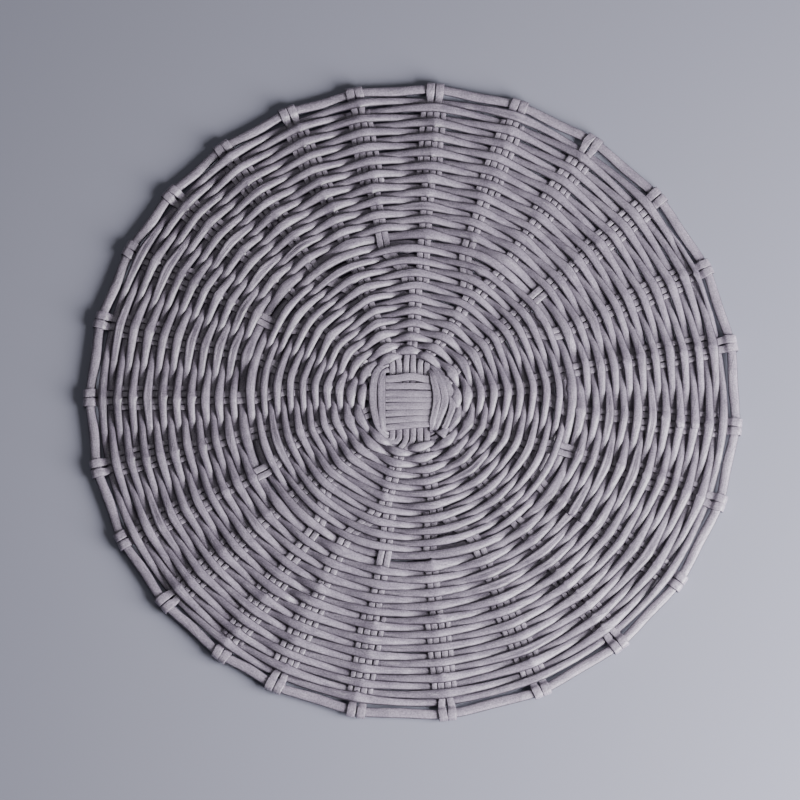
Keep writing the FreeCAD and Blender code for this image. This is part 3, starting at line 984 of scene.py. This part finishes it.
    def build(self) -> None:
        """Make and dress every stake."""
        found = {f"down_stake_{n + 1}": [self.down_stake(n)] for n in range(6)}
        found |= {f"across_stake_{n + 1}": [self.across_stake(n)] for n in range(6)}
        found |= {f"odd_stake_{n + 1}": [self.across_stake(6 + n)] for n in range(2)}
        found |= {f"side_stakes_{n + 1:02d}": self.side_stakes(n)
                  for n in range(len(self.plan.outer_bearings))}
        for node, strands in found.items():
            self.dresser.lay(self.roller, node, strands, "stake")


@dataclass(frozen=True)
class Bend:
    """The weaver's bend over or under one group."""

    zone: Zone
    middle: Vector
    over: bool
    half: float
    wide: float
    pitch: float
    fold: Fold
    reach: float
    peak: float
    depth: float
    side: int
    lean: float


@dataclass
class Weaver:
    """The strand that spirals outwards, over and under the groups, in glued lengths."""

    plan: MatPlan
    dresser: Dresser
    roller: TubeRoller = field(default_factory=lambda: TubeRoller(sides=16, squareness=1.95))
    clear: float = 1.9            # height over the outermost stake of a group
    crest_rise: float = 0.165     # slope from there up to the crest of a float
    under_peak: float = 2.1
    crest_thick: float = 3.1
    crossing_thick: float = 2.7
    fuller: float = 1.01          # width of a crest, against its solid
    tip_share: float = 1.08       # width where two rows cross, against their pitch
    sunk: float = 0.45            # how far inwards the strand is pressed where it dives under
    roundness: float = 1.25       # 1 would be a straight slope from crest to crossing
    joint_overlap: float = 4.0    # one length is pushed into the one before
    split_shift: float = 0.25     # the two rows beside the split lean together by this share
    split_fill: float = 0.55      # and are wider by this share of the wider step
    eared_reach: tuple[float, float] = (1.2, 2.2)   # how far from its middle a bend is round
    rounded_reach: tuple[float, float] = (3.0, 6.0)
    pressed_reach: float = 4.0
    eared_depth: tuple[float, float] = (0.7, 1.5)
    creased_depth: tuple[float, float] = (0.35, 0.6)
    doubled_depth: tuple[float, float] = (0.9, 1.25)
    ear_reach: float = 3.4
    doubled_rows: tuple[float, float, float] = (111.0, 119.0, 0.72)   # from, to, and share
    # the running share of the bends that each fold takes, with the rest rounded over
    inner_folds: tuple[tuple[float, Fold], ...] = (
        (0.16, Fold.EARED), (0.30, Fold.CREASED), (0.34, Fold.DOUBLED))
    outer_folds: tuple[tuple[float, Fold], ...] = (
        (0.40, Fold.EARED), (0.54, Fold.CREASED), (0.64, Fold.DOUBLED))
    tight_within: float = 60.0    # radius inside which every bend is as short as this:
    tight_reach: float = 3.5
    doubled_wider: float = 1.10
    near_cross_wider: float = 0.22
    steps: int = 9
    tail_shape: tuple[tuple[float, float], ...] = ((4.6, 0.2), (3.4, -0.4), (2.2, -0.8))

    def passings(self) -> list[Passing]:
        """Every place where the weaver passes a group, from the cross outwards.

        Returns:
            The passings in order.
        """
        plan = self.plan
        found = []
        inner, outer = len(plan.inner_bearings), len(plan.outer_bearings)
        for turn in range(plan.inner_turns):
            for step in range(inner):
                group = (plan.odd_inner - step) % inner
                back = (plan.inner_bearings[plan.odd_inner] - plan.inner_bearings[group]) % 360.0
                over = len(found) % 2 == 1
                found.append(Passing(Zone.INNER, group, turn + back / 360.0, over))
        for number in range(plan.outer_turns * outer + plan.extra_floats + 1):
            group = (plan.odd_outer - number) % outer
            back = (plan.outer_bearings[plan.odd_outer] - plan.outer_bearings[group]) % 360.0
            turns = plan.inner_turns + number // outer + back / 360.0
            found.append(Passing(Zone.OUTER, group, turns, len(found) % 2 == 1))
        return found

    def choose_fold(self, zone: Zone, radius: float, chance: random.Random) -> Fold:
        """How one bend looks.

        Args:
            zone: The zone it is in.
            radius: Its radius.
            chance: Source of the choice.

        Returns:
            The kind of fold.
        """
        draw = chance.random()
        start, end, share = self.doubled_rows
        if start < radius < end and draw < share:
            return Fold.DOUBLED
        for share, fold in self.inner_folds if zone is Zone.INNER else self.outer_folds:
            if draw < share:
                return fold
        return Fold.ROUND

    def bend(self, number: int, passing: Passing) -> Bend:
        """The weaver's bend at one passing.

        Args:
            number: Number of the passing, which seeds its small differences.
            passing: Which group it passes, and how.

        Returns:
            The bend.
        """
        plan = self.plan
        chance = random.Random(5000 + number)
        inner = passing.zone is Zone.INNER
        radius = plan.row_radius(passing.turns, plan.bearings(passing.zone)[passing.group])
        bearing, half = plan.group_span(passing.zone, passing.group, radius)
        fold = self.choose_fold(passing.zone, radius, chance)
        stray = chance.uniform(-0.3, 0.3) - (0.0 if passing.over else self.sunk)
        pitch = plan.inner_pitch if inner else plan.outer_pitch
        spare = plan.split_spare if abs(passing.turns - plan.inner_turns) < 1.0 else 0.0
        stray += spare * (self.split_shift if inner else -self.split_shift)
        middle = plan.at(bearing, radius + stray) + plan.row_centre(radius)
        middle += onward(bearing) * chance.uniform(-0.35, 0.35) * min(half, 5.0)
        reach = {Fold.EARED: chance.uniform(*self.eared_reach),
                 Fold.ROUND: chance.uniform(*self.rounded_reach),
                 Fold.CREASED: self.pressed_reach, Fold.DOUBLED: self.pressed_reach}[fold]
        if half > 8.0:
            reach = max(reach, 0.55 * half)
        if inner and radius < self.tight_within:
            reach = self.tight_reach
        wide = plan.wide_inner if inner else plan.wide_outer
        wide *= self.fuller * chance.uniform(0.92, 1.10)
        if inner:
            wide *= 1.0 + self.near_cross_wider * (1.0 - ease(radius, 30.0, 52.0))
        if fold is Fold.DOUBLED:
            wide *= self.doubled_wider
        wide += self.split_fill * spare
        depth = {Fold.EARED: chance.uniform(*self.eared_depth),
                 Fold.CREASED: chance.uniform(*self.creased_depth),
                 Fold.DOUBLED: chance.uniform(*self.doubled_depth), Fold.ROUND: 0.0}[fold]
        rise = self.crest_rise * (1.2 if fold is Fold.EARED else 0.9) * chance.uniform(0.8, 1.2)
        peak = self.clear + min(half, 12.0) * rise + 0.2 if passing.over else self.under_peak
        side = chance.choice((-1, 0, 1)) if fold is Fold.CREASED else 0
        return Bend(passing.zone, middle, passing.over, half, wide, pitch + self.split_fill * spare,
                    fold, reach, peak, depth, side, chance.uniform(-0.2, 0.2))

    def height(self, bend: Bend, away: float, crossing: float) -> float:
        """Height of the strand above the mat's middle.

        Args:
            bend: The nearer bend.
            away: Distance from the bend's middle.
            crossing: Distance at which the strand is level with the mat's middle.

        Returns:
            Millimetres above the middle, negative below.
        """
        edge = min(bend.half, 0.8 * crossing)
        if away < edge:
            level = bend.peak + (self.clear - bend.peak) * away / edge
        else:
            level = self.clear * (1.0 - ((away - edge) / (crossing - edge)) ** self.roundness)
        return level if bend.over else -level

    def ring(self, bend: Bend, away: float, crossing: float, place: Vector) -> Ring:
        """One ring of the weaver.

        Args:
            bend: The nearer bend.
            away: Distance from the bend's middle.
            crossing: Distance from the bend to the crossing.
            place: The ring's place in plan.

        Returns:
            The ring, without its heading.
        """
        near = 0.5 + 0.5 * math.cos(math.pi * min(away / crossing, 1.0))
        narrow = bend.pitch * self.tip_share
        full = bend.wide if bend.over else min(bend.wide, bend.pitch * 1.15)
        wide = narrow + (full - narrow) * near
        thick = self.crossing_thick + (self.crest_thick - self.crossing_thick) * near
        middle = Vector((place.x, place.y, self.plan.mid + self.height(bend, away, crossing)))
        ring = Ring(middle, wide, thick, roll=bend.lean * near, facing=1 if bend.over else -1)
        if bend.fold in (Fold.CREASED, Fold.DOUBLED):
            ring.groove = bend.depth * near ** (0.5 if bend.fold is Fold.DOUBLED else 1.0)
            ring.groove_side = bend.side
        if bend.fold is Fold.EARED:
            ring.ear = bend.depth * max(0.0, 1.0 - away / self.ear_reach) ** 1.5
        return ring

    @staticmethod
    def bulge(bend: Bend) -> float:
        """How far the strand stands out between two groups, as a share of their distance.

        Args:
            bend: The bend that the strand leaves.

        Returns:
            The share.
        """
        radius = math.hypot(bend.middle.x, bend.middle.y)
        if bend.zone is Zone.INNER:
            return 0.012 + 0.030 * ease(radius, 50.0, 88.0)
        return 0.012 + 0.016 * ease(radius, 170.0, 179.0)

    def between(self, one: Bend, two: Bend) -> list[Ring]:
        """Rings from one bend's middle up to, but not including, the next one's.

        Args:
            one: The bend that the strand leaves.
            two: The bend that it reaches.

        Returns:
            The rings, without their headings.
        """
        way = two.middle - one.middle
        length = way.length
        way.normalize()
        out = way.cross(UP)
        crossing = (one.half + length - two.half) / 2
        crossing = min(max(crossing, 0.3 * length), 0.7 * length)
        near, far = min(one.reach, 0.3 * length), length - min(two.reach, 0.3 * length)
        spots = [0.0, near / 2] + [near + (far - near) * s / self.steps
                                   for s in range(self.steps + 1)] + [(far + length) / 2]
        bulge = self.bulge(one)
        rings = []
        for spot in spots:
            belly = out * (bulge * length * math.sin(math.pi * spot / length))
            place = one.middle + way * spot + belly
            if spot <= crossing:
                rings.append(self.ring(one, spot, crossing, place))
            else:
                rings.append(self.ring(two, length - spot, length - crossing, place))
        return rings

    @staticmethod
    def round_off(rings: list[Ring], bends: dict[int, Bend]) -> None:
        """Round the strand where it bends.

        Args:
            rings: The rings of the strand, changed in place.
            bends: The bend at each ring that is a bend's middle.
        """
        for number, bend in bends.items():
            if number < 2 or number > len(rings) - 3:
                continue
            start, end = rings[number - 2].middle, rings[number + 2].middle
            corner = rings[number].middle.copy()
            for step, t in ((-1, 0.25), (0, 0.5), (1, 0.75)):
                u = 1 - t
                rings[number + step].middle = (start * (u * u) + corner * (2 * u * t)
                                               + end * (t * t))

    def through(self, bends: list[Bend], to_end: bool) -> list[Ring]:
        """Rings through a row of bends, rounded where the strand bends.

        Args:
            bends: The bends in order.
            to_end: True to finish with a ring at the middle of the last bend.

        Returns:
            The rings, without their headings.
        """
        rings: list[Ring] = []
        corners: dict[int, Bend] = {}
        for one, two in zip(bends, bends[1:]):
            corners[len(rings)] = one
            rings += self.between(one, two)
        if to_end:
            rings.append(self.ring(bends[-1], 0.0, 1.0, bends[-1].middle))
        self.round_off(rings, corners)
        return rings

    def tail(self, end: Passing) -> list[Bend]:
        """The bends of the tapered end that is tucked between the last row and the rim.

        Args:
            end: The last passing of the weaver.

        Returns:
            The bends after it.
        """
        found = []
        bearings = self.plan.outer_bearings
        for step, (wide, drop) in enumerate(self.tail_shape, 1):
            group = (end.group - step) % len(bearings)
            passing = Passing(end.zone, group, end.turns, end.over == (step % 2 == 0))
            bend = self.bend(9500 + step, passing)
            back = outward(bearings[group]) * drop
            found.append(replace(bend, wide=wide, middle=bend.middle - back, pitch=wide * 0.8))
        return found

    def length_of(self, places: list[Passing], first: int, last: int) -> list[Ring]:
        """Rings of one length of weaver.

        Args:
            places: Every passing.
            first: Number of the passing that the length starts on.
            last: Number of the passing that it ends on.

        Returns:
            The rings, with their headings set.
        """
        last = min(last, len(places) - 1)
        bends = [self.bend(n, places[n]) for n in range(first, last + 1)]
        if last == len(places) - 1:
            bends += self.tail(places[-1])
        rings = self.through(bends, to_end=True)
        start, after = rings[0], rings[2]
        back = (start.middle - after.middle).normalized() * self.joint_overlap
        plug = Ring(start.middle + back, start.wide * 0.8, start.thick * 0.7)
        return aim([plug] + rings)

    def build(self) -> None:
        """Make and dress every length of the weaver."""
        plan = self.plan
        places = self.passings()
        self.first_round(places)
        inner_total = plan.inner_turns * len(plan.inner_bearings)
        outer_total = len(places) - inner_total
        cuts = [round(inner_total * n / plan.inner_lengths) for n in range(plan.inner_lengths + 1)]
        for number, (first, last) in enumerate(zip(cuts, cuts[1:])):
            self.make(f"inner_weaver_{number + 1}", self.length_of(places, first, last))
        cuts = [inner_total + round(outer_total * n / plan.outer_lengths)
                for n in range(plan.outer_lengths + 1)]
        for number, (first, last) in enumerate(zip(cuts, cuts[1:])):
            self.make(f"outer_weaver_{number + 1:02d}", self.length_of(places, first, last))

    def first_round(self, places: list[Passing]) -> None:
        """Make the strand that is twined with the first row, over where that goes under.

        Args:
            places: Every passing of the weaver.
        """
        turn = len(self.plan.inner_bearings)
        bends = [self.bend(9000 + n, replace(p, over=not p.over, turns=0.3 * p.turns - 0.3))
                 for n, p in enumerate(places[:turn + 1])]
        rings = aim(self.through(bends, to_end=False))
        self.dresser.lay(self.roller, "first_round", [rings], "weaver", added=True)

    def make(self, node: str, rings: list[Ring]) -> None:
        """Make and dress one length."""
        self.dresser.lay(self.roller, node, [rings], "weaver")


@dataclass
class Binder:
    """The tube round the cross, over its side arms and under the others."""

    plan: MatPlan
    dresser: Dresser
    thick: float = 1.9
    crease: float = 0.35
    # the places it passes, from the lower right corner, anticlockwise, about the middle of
    # the cross: across, up, level (1 is over, -1 is under) and width
    places: tuple[tuple[float, float, float, float], ...] = (
        (12.6, -18.0, 0.1, 2.4), (13.2, -13.0, 1.0, 4.0), (15.8, 1.0, 1.1, 4.9),
        (13.4, 13.5, 1.0, 4.0), (11.6, 18.0, 0.0, 2.6), (7.5, 18.8, -1.0, 4.4),
        (-8.0, 18.8, -1.0, 4.4), (-14.4, 17.8, 0.1, 2.8), (-16.0, 13.0, 1.0, 4.8),
        (-16.2, 0.0, 1.1, 4.9), (-15.6, -13.0, 1.0, 4.2), (-14.0, -18.8, 0.1, 2.4),
        (-8.0, -19.0, -1.0, 4.4), (8.0, -19.0, -1.0, 4.4), (13.6, -18.4, 0.1, 2.4),
        (16.0, -13.6, 1.0, 3.8), (20.4, 0.6, 1.1, 4.7), (16.8, 13.8, 1.0, 3.8),
        (13.2, 19.8, 0.2, 2.6), (7.5, 23.4, -1.0, 4.4), (-8.0, 23.4, -1.0, 4.4),
        (-15.4, 20.8, 0.5, 3.4), (-19.8, 15.2, 1.1, 4.6), (-21.2, 0.0, 1.1, 4.8),
        (-18.8, -13.4, 1.0, 4.2), (-15.0, -19.8, 0.3, 2.6), (-8.5, -23.4, -1.0, 4.4),
        (8.0, -23.4, -1.0, 4.4), (16.4, -20.2, 0.0, 2.6), (21.4, -13.4, 0.9, 3.6),
        (24.8, -0.6, 1.0, 4.2), (20.6, 12.4, 0.9, 3.6), (15.6, 20.0, 0.0, 2.6),
        (10.0, 24.0, -0.9, 2.4))
    creased_from: float = 1.0     # height over the mat's middle where the crease shows
    roller: TubeRoller = field(default_factory=lambda: TubeRoller(sides=16, squareness=3.0))

    def stops(self) -> list[Stop]:
        """The stops of the binder, each heading from the one before to the one after.

        Returns:
            The stops in order.
        """
        plan = self.plan
        spots = [Vector((plan.cross_centre[0] + x, plan.cross_centre[1] + y,
                         plan.mid + plan.float_z * level)) for x, y, level, _ in self.places]
        found = []
        for number, (spot, place) in enumerate(zip(spots, self.places)):
            before, after = spots[max(number - 1, 0)], spots[min(number + 1, len(spots) - 1)]
            found.append(Stop(spot, (after - before).normalized(), place[3], self.thick))
        return found

    def build(self) -> None:
        """Make and dress the binder."""
        rings = flow(self.stops(), 2.0)
        for ring in rings:
            if ring.middle.z > self.plan.mid + self.creased_from:
                ring.groove = self.crease
                ring.groove_side = 1
        self.dresser.lay(self.roller, "centre_binder", [rings], "weaver")


@dataclass
class Rim:
    """The thick strand round the mat, drawn in a little between its loops."""

    plan: MatPlan
    dresser: Dresser
    roller: TubeRoller = field(default_factory=lambda: TubeRoller(sides=16, squareness=2.0))
    drawn_in: float = 1.5
    swollen: float = 0.7          # wider between the loops, where nothing pinches it
    steps: int = 8

    def rings(self) -> list[Ring]:
        """Rings of the rim strand, the last one the first again.

        Returns:
            The rings, with their headings set.
        """
        plan = self.plan
        count = len(plan.outer_bearings)
        middle_radius = (plan.rim_in + plan.rim_out) / 2
        found = []
        for number in range(count):
            here = plan.outer_bearings[-1 - number]
            after = plan.outer_bearings[(-2 - number) % count]
            span = (here - after) % 360.0
            chance = random.Random(900 + number)
            for step in range(self.steps):
                t = step / self.steps
                swell = math.sin(math.pi * t) ** 2
                wide = plan.rim_wide + (self.swollen - 0.3 * chance.random()) * swell
                place = plan.at(here - span * t, middle_radius - self.drawn_in * swell)
                found.append(Ring(place, wide, plan.rim_tall * 1.1))
        found.append(replace(found[0], middle=found[0].middle.copy()))
        return aim(found, closed=True)

    def build(self) -> None:
        """Make and dress the rim strand."""
        self.dresser.lay(self.roller, "rim_strand", [self.rings()], "rim", closed=True)


@dataclass(frozen=True)
class Studio:
    """A plain pale floor, soft light from the right, and a camera high above the mat."""

    elevation: float = 76.0
    lens: float = 250.0
    view_wide: float = 0.4608          # width of the picture at the mat, in metres
    aim_at: tuple[float, float, float] = (-0.0075, -0.0012, 0.003)
    floor_colour: Colour = (0.268, 0.269, 0.342)
    floor_below: float = 0.00085       # the floats underneath stand this far under the base
    key_watts: float = 37.0
    top_watts: float = 3.5
    fill_strength: float = 0.07

    def floor(self) -> None:
        """Lay the floor."""
        bm = bmesh.new()
        bmesh.ops.create_grid(bm, x_segments=2, y_segments=2, size=6.0)
        bmesh.ops.translate(bm, verts=bm.verts, vec=(0.0, 0.0, -self.floor_below))
        mesh = bpy.data.meshes.new("floor")
        bm.to_mesh(mesh)
        bm.free()
        slab = bpy.data.objects.new("floor", mesh)
        bpy.context.scene.collection.objects.link(slab)
        plaster = bpy.data.materials.new("plain_floor")
        plaster.use_nodes = True
        shader = plaster.node_tree.nodes["Principled BSDF"]
        shader.inputs["Base Color"].default_value = (*self.floor_colour, 1.0)
        shader.inputs["Roughness"].default_value = 0.8
        slab.data.materials.append(plaster)

    def lights(self) -> None:
        """Hang the lights."""
        scene = bpy.context.scene
        world = bpy.data.worlds.new("soft_room")
        world.use_nodes = True
        sky = world.node_tree.nodes["Background"]
        sky.inputs["Color"].default_value = (0.92, 0.96, 1.0, 1.0)
        sky.inputs["Strength"].default_value = self.fill_strength
        scene.world = world
        for name, place, size, watts in (
                ("key", (0.80, -0.42, 0.48), 0.75, self.key_watts),
                ("top", (-0.3, 0.3, 1.9), 0.9, self.top_watts)):
            lamp = bpy.data.lights.new(name, "AREA")
            lamp.shape = "DISK"
            lamp.size = size
            lamp.energy = watts
            held = bpy.data.objects.new(name, lamp)
            scene.collection.objects.link(held)
            held.location = place
            held.rotation_mode = "QUATERNION"
            held.rotation_quaternion = (Vector((0, 0, 0)) - Vector(place)).to_track_quat("-Z", "Y")

    def camera(self) -> None:
        """Set up the camera."""
        data = bpy.data.cameras.new("camera")
        data.lens = self.lens
        data.sensor_width = 36.0
        distance = self.lens * self.view_wide / data.sensor_width
        held = bpy.data.objects.new("camera", data)
        bpy.context.scene.collection.objects.link(held)
        rise = math.radians(self.elevation)
        back = Vector((0.0, -math.cos(rise), math.sin(rise)))
        held.location = Vector(self.aim_at) + back * distance
        held.rotation_mode = "QUATERNION"
        held.rotation_quaternion = (-back).to_track_quat("-Z", "Y")
        data.clip_start = distance * 0.05
        data.clip_end = distance * 20
        bpy.context.scene.camera = held

    def build(self) -> None:
        """Set up the whole studio."""
        self.floor()
        self.lights()
        self.camera()


def main() -> None:
    """Build the mat and its studio."""
    logging.basicConfig(level=logging.INFO, format="%(message)s")
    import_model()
    plan = MatPlan()
    dresser = Dresser()
    Studio().build()
    Stakes(plan, dresser).build()
    Weaver(plan, dresser).build()
    Binder(plan, dresser).build()
    Rim(plan, dresser).build()


if __name__ == "__main__":
    main()
